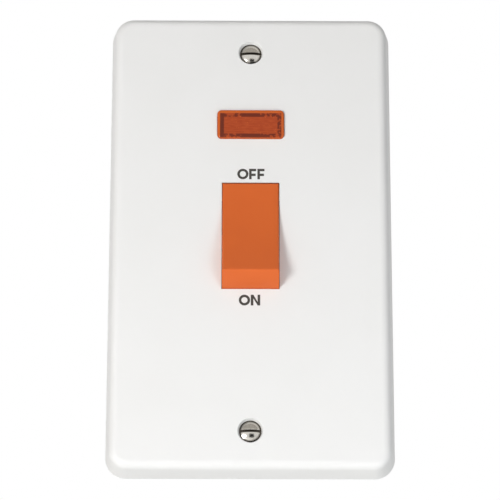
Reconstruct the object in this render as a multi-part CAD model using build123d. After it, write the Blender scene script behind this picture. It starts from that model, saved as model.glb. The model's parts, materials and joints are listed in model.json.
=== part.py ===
from build123d import *
from math import asin, atan2, cos, degrees, radians, sin, sqrt
import os

# A vertical two-gang double pole switch with a neon indicator, in millimetres.
# X runs to the right, Z up, and -Y comes out of the wall towards the viewer.
# The origin is the centre of the plate's rear rim, which lies on the wall at Y = 0.
# "Front" always means the smaller Y.

# Driving sizes of the moulded plate
PLATE_W = 86.0
PLATE_H = 146.0
PLATE_DEPTH = 8.5
CORNER_R = 6.2
WALL_LEAN = 1.5
EDGE_R = 2.6
FRONT_WALL = 2.5
SIDE_WALL = 2.2
SCREW_Z = 60.3

FACE_Y = -PLATE_DEPTH
INSIDE_Y = FACE_Y + FRONT_WALL

# Height of the switch module's middle above the plate's middle
MODULE_Z = 0.5

# Driving sizes of the rocker, which swings about a pivot behind the plate's face
APERTURE_W = 17.5
ROCKER_W = 17.15
PIVOT_DEPTH = 6.0
FLUSH_Z = 16.8
PROUD = 6.3
DISH_R = 100.0
END_GAP = 0.2
ROCKER_WALL = 1.6
TRUNNION_R = 2.0
RUNNING = 0.05

PIVOT_Y = FACE_Y + PIVOT_DEPTH
ROCKER_R = sqrt(FLUSH_Z**2 + PIVOT_DEPTH**2)
EDGE_LOW = atan2(PIVOT_DEPTH, FLUSH_Z)
EDGE_HIGH = asin((PIVOT_DEPTH + PROUD) / ROCKER_R)
HALF_SWING = degrees(EDGE_HIGH - EDGE_LOW) / 2
EDGE_ANGLE = (EDGE_LOW + EDGE_HIGH) / 2

# Driving sizes of the two poles: plunger, see-saw arm and contacts
POLES = {"live": 1, "neutral": -1}
POLE_X = 4.3
ARM_TILT = 8.0
REACH = 11.0
ARM_T = 1.2
ARM_W = 4.6
TROUGH_R = 5.5
TROUGH_HALF = 3.0
FULCRUM_DROP = 1.3
RIDGE_R = 0.4
TIP_Z = 10.8
TIP_R = 1.9
TIP_T = 1.1
RIVET_R = 0.8
STEM_R = 2.4
STEM_END = 8.2
PLUNGER_R = 1.5
POCKET_R = 1.6
POCKET_START = 0.5
SPRING_LENGTH = 3.6
SPRING_WIRE_R = 0.2
SPRING_R = 1.1
PLUNGER_GAP = 0.06

FULCRUM_Y = PIVOT_Y + REACH + FULCRUM_DROP

# Driving sizes of the terminals
TERMINAL_X = 8.0
TERMINAL_W = 9.6
TERMINAL_INNER_Z = 15.6
TERMINAL_OUTER_Z = 27.2
TUNNEL_R = 2.75
TUNNEL_Y = 10.6
TUNNEL_DEPTH = 10.4
TERMINAL_FRONT_Y = 6.2
TONGUE_FRONT_Y = 12.4
TONGUE_T = 1.4
TONGUE_W = 4.4
CLAMP_Z = (19.2, 24.2)
CLAMP_R = 1.75
CLAMP_HEAD_R = 2.3

# Driving sizes of the switch base moulding
BASE_W = 44.0
BASE_H = 58.0
BASE_BACK_Y = 18.5
FLOOR_Y = 16.0
WELL_FLOOR_Y = 3.6
WELL_Z = 18.1
CHEEK_IN_X = 8.95
CHEEK_OUT_X = 11.1
CHAMBER_X = 7.0
POCKET_X = 20.4
END_WALL = 1.6
FIX_X = 17.4
FIX_Z = 24.6
FIX_R = 1.45
FIX_SEAT_Y = -1.0
FIX_HEAD_Y = 7.0

# Driving sizes of the neon indicator
LENS_Z = 36.4
LENS_W = 20.4
LENS_H = 9.2
LENS_R = 1.3
LENS_PROUD = 0.9
LENS_WALL = 1.1
LENS_FRONT_T = 1.2
FLUTE_PITCH = 1.0
FLUTE_T = 0.35
FLANGE_T = 1.0
FLANGE_LIP = 1.8
HOLDER_W = 28.2
HOLDER_H = 10.6
HOLDER_BACK_Y = 3.0
HOLDER_WALL = 1.2
LAMP_R = 2.5
LAMP_Y = -2.2
LAMP_TIP_X = -8.0
LAMP_PINCH_X = 2.0
LAMP_END_X = 4.6
LAMP_Z = LENS_Z + 1.5
ELECTRODE_SPREAD = 0.8
ELECTRODE_R = 0.3
RESISTOR_X = (7.2, 11.0)
LEAD_TOP_Z = LENS_Z - 2.7
LEAD_X = 12.0
LEAD_Y = -2.6
LEAD_R = 0.5

# Driving sizes of the fixing screws and the earth terminal
PLATE_SCREW_R = 1.75
PLATE_SCREW_TIP_Y = 16.3
HEAD_R = 3.0
HEAD_RIM_DEPTH = 1.35
HEAD_RIM_T = 0.15
DOME_H = 0.73
NECK_R = 1.45
SLOT_W = 0.8
SLOT_DEPTH = 0.95
RECESS_R = 3.7
RECESS_EDGE_R = 0.2
BOSS_R = 4.8
BOSS_END_Y = -0.5
EARTH_X = -30.0
EARTH_Z = -38.0
EARTH_BORE_R = 2.25
EARTH_BORE_Y = 2.8
EARTH_FRONT_Y = -1.6
EARTH_BACK_Y = 7.2

VIEWER = Vector(0, -1, 0)


def at_depth(y):
    """Sketch plane seen from the front: its x is +X, its y is +Z and it faces the viewer."""
    return Plane(origin=(0, y, 0), x_dir=(1, 0, 0), z_dir=VIEWER)


def block(sketch, front_y, back_y):
    """Straight prism of a front-view outline between two depths."""
    return extrude(at_depth(back_y) * sketch, amount=back_y - front_y)


def post(x, z, radius, front_y, back_y):
    """Round column along Y."""
    return block(Pos(x, z) * Circle(radius), front_y, back_y)


def bar(x0, x1, z0, z1, front_y, back_y):
    """Square-edged block between two depths."""
    centre = Pos((x0 + x1) / 2, (z0 + z1) / 2)
    return block(centre * Rectangle(abs(x1 - x0), abs(z1 - z0)), front_y, back_y)


def side_cut(profile, x0, x1):
    """Prism across X of a side-view outline, whose x is Y and whose y is Z."""
    return extrude(Plane.YZ.offset(x0) * profile, amount=x1 - x0)


def axle(y, z, radius, x0, x1):
    """Round bar along X."""
    return side_cut(Pos(y, z) * Circle(radius), x0, x1)


def tunnel(x, y, radius, z0, z1):
    """Round bar along Z."""
    return extrude(Plane.XY.offset(z0) * Pos(x, y) * Circle(radius), amount=z1 - z0)


def turned(profile, x, z):
    """Solid turned about an axis along Y: the outline is drawn as (radius, depth)."""
    return Pos(x, 0, z) * revolve(Plane.XY * profile, Axis.Y)


def rocker_frame(shape):
    """Place a shape drawn about the pivot at mid swing, turned to the OFF position."""
    return Pos(0, PIVOT_Y, 0) * Rot(-HALF_SWING, 0, 0) * shape


def arm_frame(shape, tilt=ARM_TILT):
    """Place a shape drawn about the fulcrum, turned from the level position."""
    return Pos(0, FULCRUM_Y, 0) * Rot(tilt, 0, 0) * shape


def raised(shape):
    """Move a shape of the switch module up to the module's place in the plate."""
    return Pos(0, 0, MODULE_Z) * shape


# Plate

def plate_outline(lean):
    """Rounded rectangle of the plate, set in by the lean of the walls."""
    return RectangleRounded(PLATE_W - 2 * lean, PLATE_H - 2 * lean, CORNER_R - lean / 2)


def plate_shell():
    """Hollow moulding with leaning walls and a rounded front edge, open to the wall."""
    skin = loft([at_depth(0) * plate_outline(0), at_depth(FACE_Y) * plate_outline(WALL_LEAN)])
    front_rim = skin.faces().sort_by(Axis.Y)[0].edges()
    skin = fillet(front_rim, EDGE_R)
    inner_lean = WALL_LEAN * (INSIDE_Y / FACE_Y)
    hollow = loft([
        at_depth(0) * plate_outline(SIDE_WALL),
        at_depth(INSIDE_Y) * plate_outline(SIDE_WALL + inner_lean),
    ])
    return skin - hollow


def screw_recess():
    """Deep recess of a plate screw as a turned cutter: round mouth, conical seat, clearance hole."""
    mouth_r = RECESS_R + RECESS_EDGE_R
    arc_in = RECESS_EDGE_R * sin(radians(45))
    seat_y = FACE_Y + HEAD_RIM_DEPTH + HEAD_RIM_T
    seat_r = HEAD_R + 0.1
    hole_r = PLATE_SCREW_R + 0.25
    return make_face([
        Polyline((0, FACE_Y), (0, FACE_Y - 1), (mouth_r, FACE_Y - 1), (mouth_r, FACE_Y)),
        ThreePointArc(
            (mouth_r, FACE_Y),
            (mouth_r - arc_in, FACE_Y + RECESS_EDGE_R - arc_in),
            (RECESS_R, FACE_Y + RECESS_EDGE_R),
        ),
        Polyline((RECESS_R, FACE_Y + RECESS_EDGE_R), (seat_r + 0.25, seat_y), (seat_r, seat_y),
                 (hole_r, seat_y + seat_r - hole_r), (hole_r, 1), (0, 1), (0, FACE_Y)),
    ])


def rocker_aperture():
    """Opening whose end walls follow the rocker's swing, so the gap stays the same."""
    sides = bar(-APERTURE_W / 2, APERTURE_W / 2, -30, 30, FACE_Y - 1, INSIDE_Y + 1)
    swing = axle(PIVOT_Y, 0, ROCKER_R + END_GAP, -APERTURE_W / 2, APERTURE_W / 2)
    return sides & swing


def lens_outline(grow):
    """Rounded rectangle of the indicator, grown or shrunk all round."""
    return Pos(0, LENS_Z) * RectangleRounded(
        LENS_W + 2 * grow, LENS_H + 2 * grow, max(LENS_R + grow, 0.3)
    )


def plate_ribs():
    """Thin webs that tie the screw bosses to the plate's walls."""
    half_w = PLATE_W / 2 - SIDE_WALL
    half_h = PLATE_H / 2 - SIDE_WALL
    ribs = []
    for side in (1, -1):
        ribs.append(bar(-half_w, half_w, side * SCREW_Z - 0.6, side * SCREW_Z + 0.6, INSIDE_Y, -3.0))
        ribs.append(bar(-0.6, 0.6, side * SCREW_Z, side * half_h, INSIDE_Y, -3.0))
    return ribs


def base_rails():
    """Two low rails that the sides of the switch base slide between."""
    rails = []
    for side in (1, -1):
        x = side * (BASE_W / 2 + 0.9)
        rails.append(bar(x - 0.6, x + 0.6, -BASE_H / 2, BASE_H / 2 - 4, INSIDE_Y, -3.6))
    return rails


def module_bosses():
    """Four pillars that take the self-tapping screws of the switch base."""
    pillars = []
    for x in (FIX_X, -FIX_X):
        for z in (FIX_Z, -FIX_Z):
            pillars.append(post(x, z, 3.0, INSIDE_Y, FIX_SEAT_Y))
    return pillars


def trunnion_keepers():
    """Two saddles on the plate's back that hold the rocker's trunnions in their slots."""
    keepers = []
    for side in (1, -1):
        edges = sorted((side * (CHEEK_IN_X + 0.15), side * (CHEEK_OUT_X - 0.15)))
        keeper = bar(edges[0], edges[1], -1.9, 1.9, INSIDE_Y, PIVOT_Y - 0.9)
        keepers.append(keeper - axle(PIVOT_Y, 0, TRUNNION_R + 2 * RUNNING, edges[0] - 1, edges[1] + 1))
    return keepers


def terminal_fingers():
    """Four legs that reach back from the plate and hold the terminals on the base's floor."""
    legs = []
    for x in (TERMINAL_X, -TERMINAL_X):
        for z in (FIX_Z, -FIX_Z):
            legs.append(bar(x - 3, x + 3, z - 0.7, z + 0.7, INSIDE_Y, TERMINAL_FRONT_Y - 0.1))
    return legs


def holder_pins():
    """Two pads and heat-staked pins that hold the neon holder."""
    pins = []
    for side in (1, -1):
        x = side * (HOLDER_W / 2 + 2.2)
        pins.append(post(x, LENS_Z, 2.2, INSIDE_Y, INSIDE_Y + FLANGE_T))
        pins.append(post(x, LENS_Z, 1.1, INSIDE_Y, INSIDE_Y + FLANGE_T + 1.5))
        stake = post(x, LENS_Z, 1.8, INSIDE_Y + FLANGE_T + 1.4, INSIDE_Y + FLANGE_T + 2.3)
        pins.append(fillet(stake.faces().sort_by(Axis.Y)[-1].edges(), 0.6))
    return pins


def earth_socket():
    """Pedestal on the plate's back and two cheeks that grip the earth terminal on it."""
    pieces = [bar(EARTH_X - 4.3, EARTH_X + 4.3, EARTH_Z - 5, EARTH_Z + 5, INSIDE_Y, EARTH_FRONT_Y)]
    for side in (1, -1):
        x = EARTH_X + side * 4.7
        pieces.append(bar(x - 0.6, x + 0.6, EARTH_Z - 5, EARTH_Z + 5, INSIDE_Y, EARTH_FRONT_Y + 3))
    return pieces


def front_plate():
    """White plate: shell, bosses and ribs, with the rocker, lens and screw openings."""
    plate = plate_shell()
    for side in (1, -1):
        plate += post(0, side * SCREW_Z, BOSS_R, INSIDE_Y, BOSS_END_Y)
    for piece in plate_ribs() + holder_pins() + earth_socket():
        plate += piece
    for piece in base_rails() + module_bosses() + trunnion_keepers() + terminal_fingers():
        plate += raised(piece)
    for side in (1, -1):
        plate -= turned(screw_recess(), 0, side * SCREW_Z)
    for x in (FIX_X, -FIX_X):
        for z in (FIX_Z, -FIX_Z):
            plate -= raised(post(x, z, FIX_R + 0.05, INSIDE_Y + 0.6, 0))
    plate -= raised(rocker_aperture())
    plate -= block(lens_outline(0.1), FACE_Y - 1, INSIDE_Y + 1)
    return plate


# Rocker and plungers

def rocker_profile():
    """Side view about the pivot: dished front, ends that follow the swing, sloping skirt."""
    edge_y = -ROCKER_R * sin(EDGE_ANGLE)
    edge_z = ROCKER_R * cos(EDGE_ANGLE)
    dish = DISH_R - sqrt(DISH_R**2 - edge_z**2)
    skirt_y = 0.5
    skirt_z = sqrt(ROCKER_R**2 - skirt_y**2)
    mid_angle = EDGE_ANGLE / 2
    mid_y = -ROCKER_R * sin(mid_angle)
    mid_z = ROCKER_R * cos(mid_angle)
    outline = [
        ThreePointArc((edge_y, edge_z), (edge_y + dish, 0), (edge_y, -edge_z)),
        ThreePointArc((edge_y, -edge_z), (mid_y, -mid_z), (skirt_y, -skirt_z)),
        Polyline((skirt_y, -skirt_z), (4.0, -6.0), (4.0, 6.0), (skirt_y, skirt_z)),
        ThreePointArc((skirt_y, skirt_z), (mid_y, mid_z), (edge_y, edge_z)),
    ]
    return make_face(outline)


def rocker():
    """One orange moulding: shell, two trunnions and a stem with a pocket for each plunger."""
    half = ROCKER_W / 2
    profile = rocker_profile()
    body = side_cut(profile, -half, half)
    front_edges = body.edges().filter_by(lambda edge: edge.center().Y < -8.0)
    body = fillet(front_edges, 0.6)
    hollow = offset(profile, amount=-ROCKER_WALL) + Pos(4, 0) * Rectangle(9, 2 * ROCKER_R - 3.6)
    body -= side_cut(hollow, -half + 1.5, half - 1.5)
    front_inner = -ROCKER_R * sin(EDGE_ANGLE) + ROCKER_WALL
    body += bar(-half + 1, half - 1, -0.6, 0.6, front_inner - 0.4, 1.0)
    for side in (1, -1):
        body += post(side * POLE_X, 0, STEM_R, front_inner - 0.4, STEM_END)
        body -= post(side * POLE_X, 0, POCKET_R, POCKET_START, STEM_END + 1)
        body += axle(0, 0, 3.0, *sorted((side * (half - 1.5), side * half)))
        body += axle(0, 0, TRUNNION_R, *sorted((side * (half - 1), side * (half + 2.2))))
    return rocker_frame(body)


def plunger(side):
    """Sprung plunger: a spigot in the spring, a round shank and a ball nose."""
    tip = REACH - PLUNGER_GAP
    shoulder = POCKET_START + SPRING_LENGTH
    outline = make_face([
        Polyline((0, shoulder - 1.6), (0.6, shoulder - 1.6), (0.6, shoulder), (PLUNGER_R, shoulder)),
        Line((PLUNGER_R, shoulder), (PLUNGER_R, tip - PLUNGER_R)),
        CenterArc((0, tip - PLUNGER_R), PLUNGER_R, 0, 90),
        Line((0, tip), (0, shoulder - 1.6)),
    ])
    return rocker_frame(turned(outline, side * POLE_X, 0))


def plunger_spring(side):
    """Coil spring between the pocket's end and the plunger's shoulder."""
    turns = 4.5
    length = SPRING_LENGTH - 2 * SPRING_WIRE_R - 0.1
    path = Helix(
        pitch=length / turns,
        height=length,
        radius=SPRING_R,
        center=(side * POLE_X, POCKET_START + SPRING_WIRE_R + 0.05, 0),
        direction=(0, 1, 0),
    )
    section = Plane(path @ 0, z_dir=path % 0) * Circle(SPRING_WIRE_R)
    return rocker_frame(sweep(section, path=path, is_frenet=True))


# Contact arms and contacts

def arm_profile():
    """Side view of the bent strip about the fulcrum: a trough between two level ends."""
    bed = -0.1 - ARM_T
    rise = TROUGH_R - sqrt(TROUGH_R**2 - TROUGH_HALF**2)
    under_r = TROUGH_R + ARM_T
    under_half = sqrt(under_r**2 - (under_r - rise)**2)
    top = bed - rise
    under = top + ARM_T
    lower_end, upper_end = -8.0, 12.9
    outline = [
        Line((top, lower_end), (top, -TROUGH_HALF)),
        ThreePointArc((top, -TROUGH_HALF), (bed, 0), (top, TROUGH_HALF)),
        Line((top, TROUGH_HALF), (top, upper_end)),
        Line((top, upper_end), (under, upper_end)),
        Line((under, upper_end), (under, under_half)),
        ThreePointArc((under, under_half), (bed + ARM_T, 0), (under, -under_half)),
        Line((under, -under_half), (under, lower_end)),
        Line((under, lower_end), (top, lower_end)),
    ]
    return make_face(outline)


ARM_TOP = -0.1 - ARM_T - (TROUGH_R - sqrt(TROUGH_R**2 - TROUGH_HALF**2))


def contact_arm(side):
    """See-saw copper strip with a groove for the fulcrum and a hole for the contact's rivet."""
    x = side * POLE_X
    arm = side_cut(arm_profile(), x - ARM_W / 2, x + ARM_W / 2)
    arm = fillet(arm.edges().filter_by(Axis.Y), 0.8)
    arm -= axle(0, 0, RIDGE_R + RUNNING, x - 4, x + 4)
    arm -= post(x, TIP_Z, RIVET_R + 0.02, ARM_TOP - 1, ARM_TOP + 3)
    return arm_frame(arm)


def moving_contact(side):
    """Silver rivet contact on the arm: flat button, shank and a closed head."""
    x = side * POLE_X
    under = ARM_TOP + ARM_T
    button = post(x, TIP_Z, TIP_R, under, under + TIP_T)
    button = chamfer(button.faces().sort_by(Axis.Y)[-1].edges(), 0.25)
    button += post(x, TIP_Z, RIVET_R, ARM_TOP - 0.3, under + 0.1)
    button += post(x, TIP_Z, RIVET_R + 0.4, ARM_TOP - 0.35, ARM_TOP)
    return arm_frame(button)


def fixed_contact(side):
    """Silver rivet contact whose face meets the moving one squarely when the arm is down."""
    x = side * POLE_X
    closed_z = TIP_Z * cos(radians(ARM_TILT))
    button = post(x, closed_z, TIP_R, FULCRUM_Y, TONGUE_FRONT_Y)
    face = ARM_TOP + ARM_T + TIP_T + 0.05
    swept = arm_frame(bar(x - 5, x + 5, TIP_Z - 6, TIP_Z + 6, face - 6, face), -ARM_TILT)
    button -= swept
    button += post(x, closed_z, RIVET_R, TONGUE_FRONT_Y - 0.1, TONGUE_FRONT_Y + TONGUE_T + 0.3)
    return button


# Terminals

def terminal(side, end):
    """Brass block with a blind conductor tunnel, two clamp holes and a tongue to the pole."""
    x = side * TERMINAL_X
    inner, outer = end * TERMINAL_INNER_Z, end * TERMINAL_OUTER_Z
    body = bar(x - TERMINAL_W / 2, x + TERMINAL_W / 2, inner, outer, TERMINAL_FRONT_Y, FLOOR_Y)
    body = chamfer(body.edges().filter_by(Axis.Z), 0.5)
    mouth = sorted((outer + end, outer - end * TUNNEL_DEPTH))
    body -= tunnel(x, TUNNEL_Y, TUNNEL_R, *mouth)
    for z in CLAMP_Z:
        body -= post(x, end * z, CLAMP_R + RUNNING, TUNNEL_Y, FLOOR_Y + 1)
    return body


def tongue(side, inner_z, outer_z):
    """Strip from the terminal to the pole, behind the contact arm."""
    x = side * POLE_X
    return bar(
        x - TONGUE_W / 2, x + TONGUE_W / 2, inner_z, outer_z,
        TONGUE_FRONT_Y, TONGUE_FRONT_Y + TONGUE_T,
    )


def supply_terminal(side):
    """Upper terminal, whose tongue carries the fixed contact."""
    strip = tongue(side, 8.2, TERMINAL_INNER_Z)
    closed_z = TIP_Z * cos(radians(ARM_TILT))
    strip -= post(side * POLE_X, closed_z, RIVET_R + 0.02, TONGUE_FRONT_Y - 1, FLOOR_Y)
    return terminal(side, 1) + strip


def load_terminal(side):
    """Lower terminal, whose tongue ends in the ridge that the contact arm rocks on."""
    strip = tongue(side, -TERMINAL_INNER_Z, 2.2)
    x = side * POLE_X
    flank = make_face(Polyline(
        (FULCRUM_Y, RIDGE_R), (TONGUE_FRONT_Y + 0.2, 1.4),
        (TONGUE_FRONT_Y + 0.2, -1.4), (FULCRUM_Y, -RIDGE_R), close=True,
    ))
    ridge = flank + Pos(FULCRUM_Y, 0) * Circle(RIDGE_R)
    strip += side_cut(ridge, x - TONGUE_W / 2, x + TONGUE_W / 2)
    return terminal(side, -1) + strip


def slotted_head(x, z, radius, front_y, back_y, towards_wall=True):
    """Cheese head with a screwdriver slot in the face that points away from its thread."""
    head = post(x, z, radius, front_y, back_y)
    faces = head.faces().sort_by(Axis.Y)
    head = chamfer(faces[-1 if towards_wall else 0].edges(), 0.3)
    deep = (back_y - front_y) * 0.45
    slot_y = (back_y - deep, back_y + 1) if towards_wall else (front_y - 1, front_y + deep)
    return head - bar(x - radius - 1, x + radius + 1, z - 0.4, z + 0.4, *slot_y)


def clamp_screw(side, end, z):
    """Terminal screw driven from behind, backed off flush with the conductor tunnel."""
    x = side * TERMINAL_X
    tip_y = TUNNEL_Y + TUNNEL_R + 0.05
    shank = post(x, end * z, CLAMP_R, tip_y, FLOOR_Y + 0.1)
    return shank + slotted_head(x, end * z, CLAMP_HEAD_R, FLOOR_Y + 0.02, FLOOR_Y + 1.8)


# Switch base

def base_cavities():
    """Everything that is open to the front: well, mechanism chamber, terminals and pockets."""
    cuts = [
        bar(-CHEEK_IN_X, CHEEK_IN_X, -WELL_Z, WELL_Z, INSIDE_Y - 1, WELL_FLOOR_Y),
        bar(-CHAMBER_X, CHAMBER_X, -TERMINAL_INNER_Z - 0.05, TERMINAL_INNER_Z + 0.05, 0, FLOOR_Y),
    ]
    for side in (1, -1):
        near = side * (TERMINAL_X - TERMINAL_W / 2 - 0.1)
        far = side * (TERMINAL_X + TERMINAL_W / 2 + 0.1)
        for end in (1, -1):
            inner, outer = end * (TERMINAL_INNER_Z - 0.15), end * (BASE_H / 2 - END_WALL)
            cuts.append(bar(near, far, inner, outer, INSIDE_Y - 1, FLOOR_Y))
            cuts.append(tunnel(side * TERMINAL_X, TUNNEL_Y, TUNNEL_R + 0.7, *sorted((outer, end * 30))))
        cuts.append(bar(side * CHEEK_OUT_X, side * POCKET_X, -18.5, 18.5, INSIDE_Y - 1, FLOOR_Y))
    return cuts


def bearing_slots():
    """U-shaped slots in the cheeks, open to the front, that carry the rocker's trunnions."""
    slot = Circle(TRUNNION_R + RUNNING)
    length = PIVOT_Y - INSIDE_Y + 1
    slot += Pos(-length / 2, 0) * Rectangle(length, 2 * (TRUNNION_R + RUNNING))
    slot = Pos(PIVOT_Y, 0) * slot
    return [
        side_cut(slot, CHEEK_IN_X - 1, CHEEK_OUT_X + 1),
        side_cut(slot, -CHEEK_OUT_X - 1, -CHEEK_IN_X + 1),
    ]


def switch_base():
    """Dark moulding that holds the terminals and both poles, with a barrier between them."""
    body = block(RectangleRounded(BASE_W, BASE_H, 2.5), INSIDE_Y, BASE_BACK_Y)
    body = chamfer(body.faces().sort_by(Axis.Y)[-1].edges(), 0.8)
    for cut in base_cavities() + bearing_slots():
        body -= cut
    body += bar(-0.7, 0.7, -15.5, 15.5, WELL_FLOOR_Y, FLOOR_Y + 0.1)
    for side in (1, -1):
        x = side * POLE_X
        body += bar(x - 2.2, x + 2.2, 8.6, 15.2, TONGUE_FRONT_Y + TONGUE_T + 0.35, FLOOR_Y + 0.1)
        body += bar(x - 2.2, x + 2.2, -15.2, 2.0, TONGUE_FRONT_Y + TONGUE_T, FLOOR_Y + 0.1)
        for end in (1, -1):
            body -= bar(-1.6, 1.6, end * 19.8, end * 27.2, WELL_FLOOR_Y + 1.6, BASE_BACK_Y + 1)
            body -= post(side * FIX_X, end * FIX_Z, 3.2, INSIDE_Y - 1, FIX_SEAT_Y)
            body -= post(side * FIX_X, end * FIX_Z, FIX_R + 0.25, FIX_SEAT_Y - 1, FIX_HEAD_Y + 1)
            body -= post(side * FIX_X, end * FIX_Z, 3.0, FIX_HEAD_Y, BASE_BACK_Y + 1)
            for z in CLAMP_Z:
                body -= post(side * TERMINAL_X, end * z, CLAMP_HEAD_R + 0.3, FLOOR_Y - 1, BASE_BACK_Y + 1)
        body -= bar(side * LEAD_X - 0.8, side * LEAD_X + 0.8, 25, 30, INSIDE_Y - 1, LEAD_Y + 0.9)
    return body


def module_screw(side, end):
    """Self-tapping pan-head screw from the base into the plate's pillar."""
    x, z = side * FIX_X, end * FIX_Z
    shank = post(x, z, FIX_R, INSIDE_Y + 1.2, FIX_HEAD_Y + 0.1)
    shank = chamfer(shank.faces().sort_by(Axis.Y)[0].edges(), 0.7)
    return shank + slotted_head(x, z, 2.7, FIX_HEAD_Y + 0.02, FIX_HEAD_Y + 1.9)


# Neon indicator

def indicator_lens():
    """Translucent cap: proud rounded front, level flutes inside, a flange behind the plate."""
    front_y = FACE_Y - LENS_PROUD
    body = block(lens_outline(0), front_y, INSIDE_Y + 0.1)
    body = fillet(body.faces().sort_by(Axis.Y)[0].edges(), 0.55)
    body += block(lens_outline(FLANGE_LIP), INSIDE_Y + 0.02, INSIDE_Y + FLANGE_T)
    inner_y = front_y + LENS_FRONT_T
    body -= block(lens_outline(-LENS_WALL), inner_y, INSIDE_Y + 2)
    half_w = LENS_W / 2 - LENS_WALL + 0.05
    count = int((LENS_H - 2 * LENS_WALL) / FLUTE_PITCH)
    for index in range(count):
        z = LENS_Z + (index - (count - 1) / 2) * FLUTE_PITCH
        ridge = make_face(Polyline(
            (inner_y - 0.05, z - FLUTE_T / 2), (inner_y - 0.05, z + FLUTE_T / 2),
            (inner_y + FLUTE_T, z), close=True,
        ))
        body += side_cut(ridge, -half_w, half_w)
    return body


def neon_holder():
    """Tray behind the lens with two ears, two lamp cradles and holes for the leads."""
    front_y = INSIDE_Y + FLANGE_T + 0.02
    outer = Pos(0, LENS_Z) * RectangleRounded(HOLDER_W, HOLDER_H, 1.2)
    body = block(outer, front_y, HOLDER_BACK_Y)
    for side in (1, -1):
        x = side * (HOLDER_W / 2 + 2.2)
        ear = Pos(x - side, LENS_Z) * SlotOverall(6.6, 5.0)
        body += block(ear, front_y, front_y + 1.36)
        body -= post(x, LENS_Z, 1.15, front_y - 1, front_y + 3)
    inner = Pos(0, LENS_Z) * Rectangle(HOLDER_W - 2 * HOLDER_WALL, HOLDER_H - 2 * HOLDER_WALL)
    body -= block(inner, front_y - 1, HOLDER_BACK_Y - HOLDER_WALL)
    cradle_bottom = LENS_Z - HOLDER_H / 2 + 1
    for x in (-5.5, 1.5):
        cradle = bar(x - 0.6, x + 0.6, cradle_bottom, LAMP_Z + 2, LAMP_Y, HOLDER_BACK_Y - 1)
        cradle -= axle(LAMP_Y, LAMP_Z, LAMP_R + 0.02, x - 1, x + 1)
        body += cradle - axle(LAMP_Y, LEAD_TOP_Z + 0.4, ELECTRODE_R + 0.1, x - 1, x + 1)
    for side in (1, -1):
        body -= tunnel(side * LEAD_X, LEAD_Y, LEAD_R + 0.05, 30, cradle_bottom + 1)
    return body


def lamp_bulb(grow):
    """Outline of the bulb about its axis, as (along X, radius): dome, tube and shoulder."""
    radius = LAMP_R + grow
    dome_x = LAMP_TIP_X + LAMP_R
    end_x = LAMP_PINCH_X + grow
    return make_face([
        CenterArc((dome_x, 0), radius, 90, 90),
        Line((dome_x - radius, 0), (end_x, 0)),
        Line((end_x, 0), (end_x, radius)),
        Line((end_x, radius), (dome_x, radius)),
    ])


def neon_lamp():
    """Glass bulb with its pinched end, around the two electrodes."""
    bulb = revolve(Plane.XY * lamp_bulb(0), Axis.X)
    bulb = fillet(bulb.faces().sort_by(Axis.X)[-1].edges(), 0.9)
    pinch = extrude(Plane.YZ.offset(LAMP_PINCH_X - 0.5) * Rectangle(1.6, 3.6), amount=3.1)
    bulb += fillet(pinch.edges().filter_by(Axis.X), 0.5)
    bulb -= revolve(Plane.XY * lamp_bulb(-0.4), Axis.X)
    for side in (1, -1):
        bulb -= axle(0, side * ELECTRODE_SPREAD, ELECTRODE_R + 0.02, LAMP_PINCH_X - 1, LAMP_END_X + 1)
    return Pos(0, LAMP_Y, LAMP_Z) * bulb


def bent_wire(points, bend, radius):
    """Round wire along straight runs joined by arcs."""
    path = FilletPolyline(*points, radius=bend)
    section = Plane(path @ 0, z_dir=path % 0) * Circle(radius)
    return sweep(section, path=path)


def lamp_electrode_upper():
    """Electrode rod with the lead that runs on to the resistor."""
    return axle(LAMP_Y, LAMP_Z + ELECTRODE_SPREAD, ELECTRODE_R, -4.5, RESISTOR_X[0] - 0.02)


def lamp_electrode_lower():
    """Electrode rod with the lead that turns back under the bulb to the neutral wire."""
    z = LAMP_Z - ELECTRODE_SPREAD
    return bent_wire(
        [(-4.5, LAMP_Y, z), (5.9, LAMP_Y, z), (5.9, LAMP_Y, LEAD_TOP_Z + 0.4),
         (-LEAD_X, LAMP_Y, LEAD_TOP_Z + 0.4), (-LEAD_X, LAMP_Y, LEAD_TOP_Z - 0.6)],
        [1.2, 1.2, 0.45], ELECTRODE_R,
    )


def lamp_resistor():
    """Resistor with rounded ends and its own lead down to the live wire."""
    z = LAMP_Z + ELECTRODE_SPREAD
    body = axle(LAMP_Y, z, 1.0, *RESISTOR_X)
    body = fillet(body.edges().filter_by(GeomType.CIRCLE), 0.35)
    lead = bent_wire(
        [(RESISTOR_X[1] - 0.5, LAMP_Y, z), (LEAD_X, LAMP_Y, z), (LEAD_X, LAMP_Y, LEAD_TOP_Z)],
        [0.5], ELECTRODE_R,
    )
    return body + lead


def neon_lead(side):
    """Insulated wire from the neon holder down to the front of a load terminal."""
    x = side * LEAD_X
    low_z = -21.4
    wire = bent_wire(
        [(x, LEAD_Y, LEAD_TOP_Z - 0.8), (x, LEAD_Y, low_z), (x, TERMINAL_FRONT_Y, low_z)],
        [3.6], LEAD_R,
    )
    return wire


# Fixing screws and earth terminal

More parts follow.
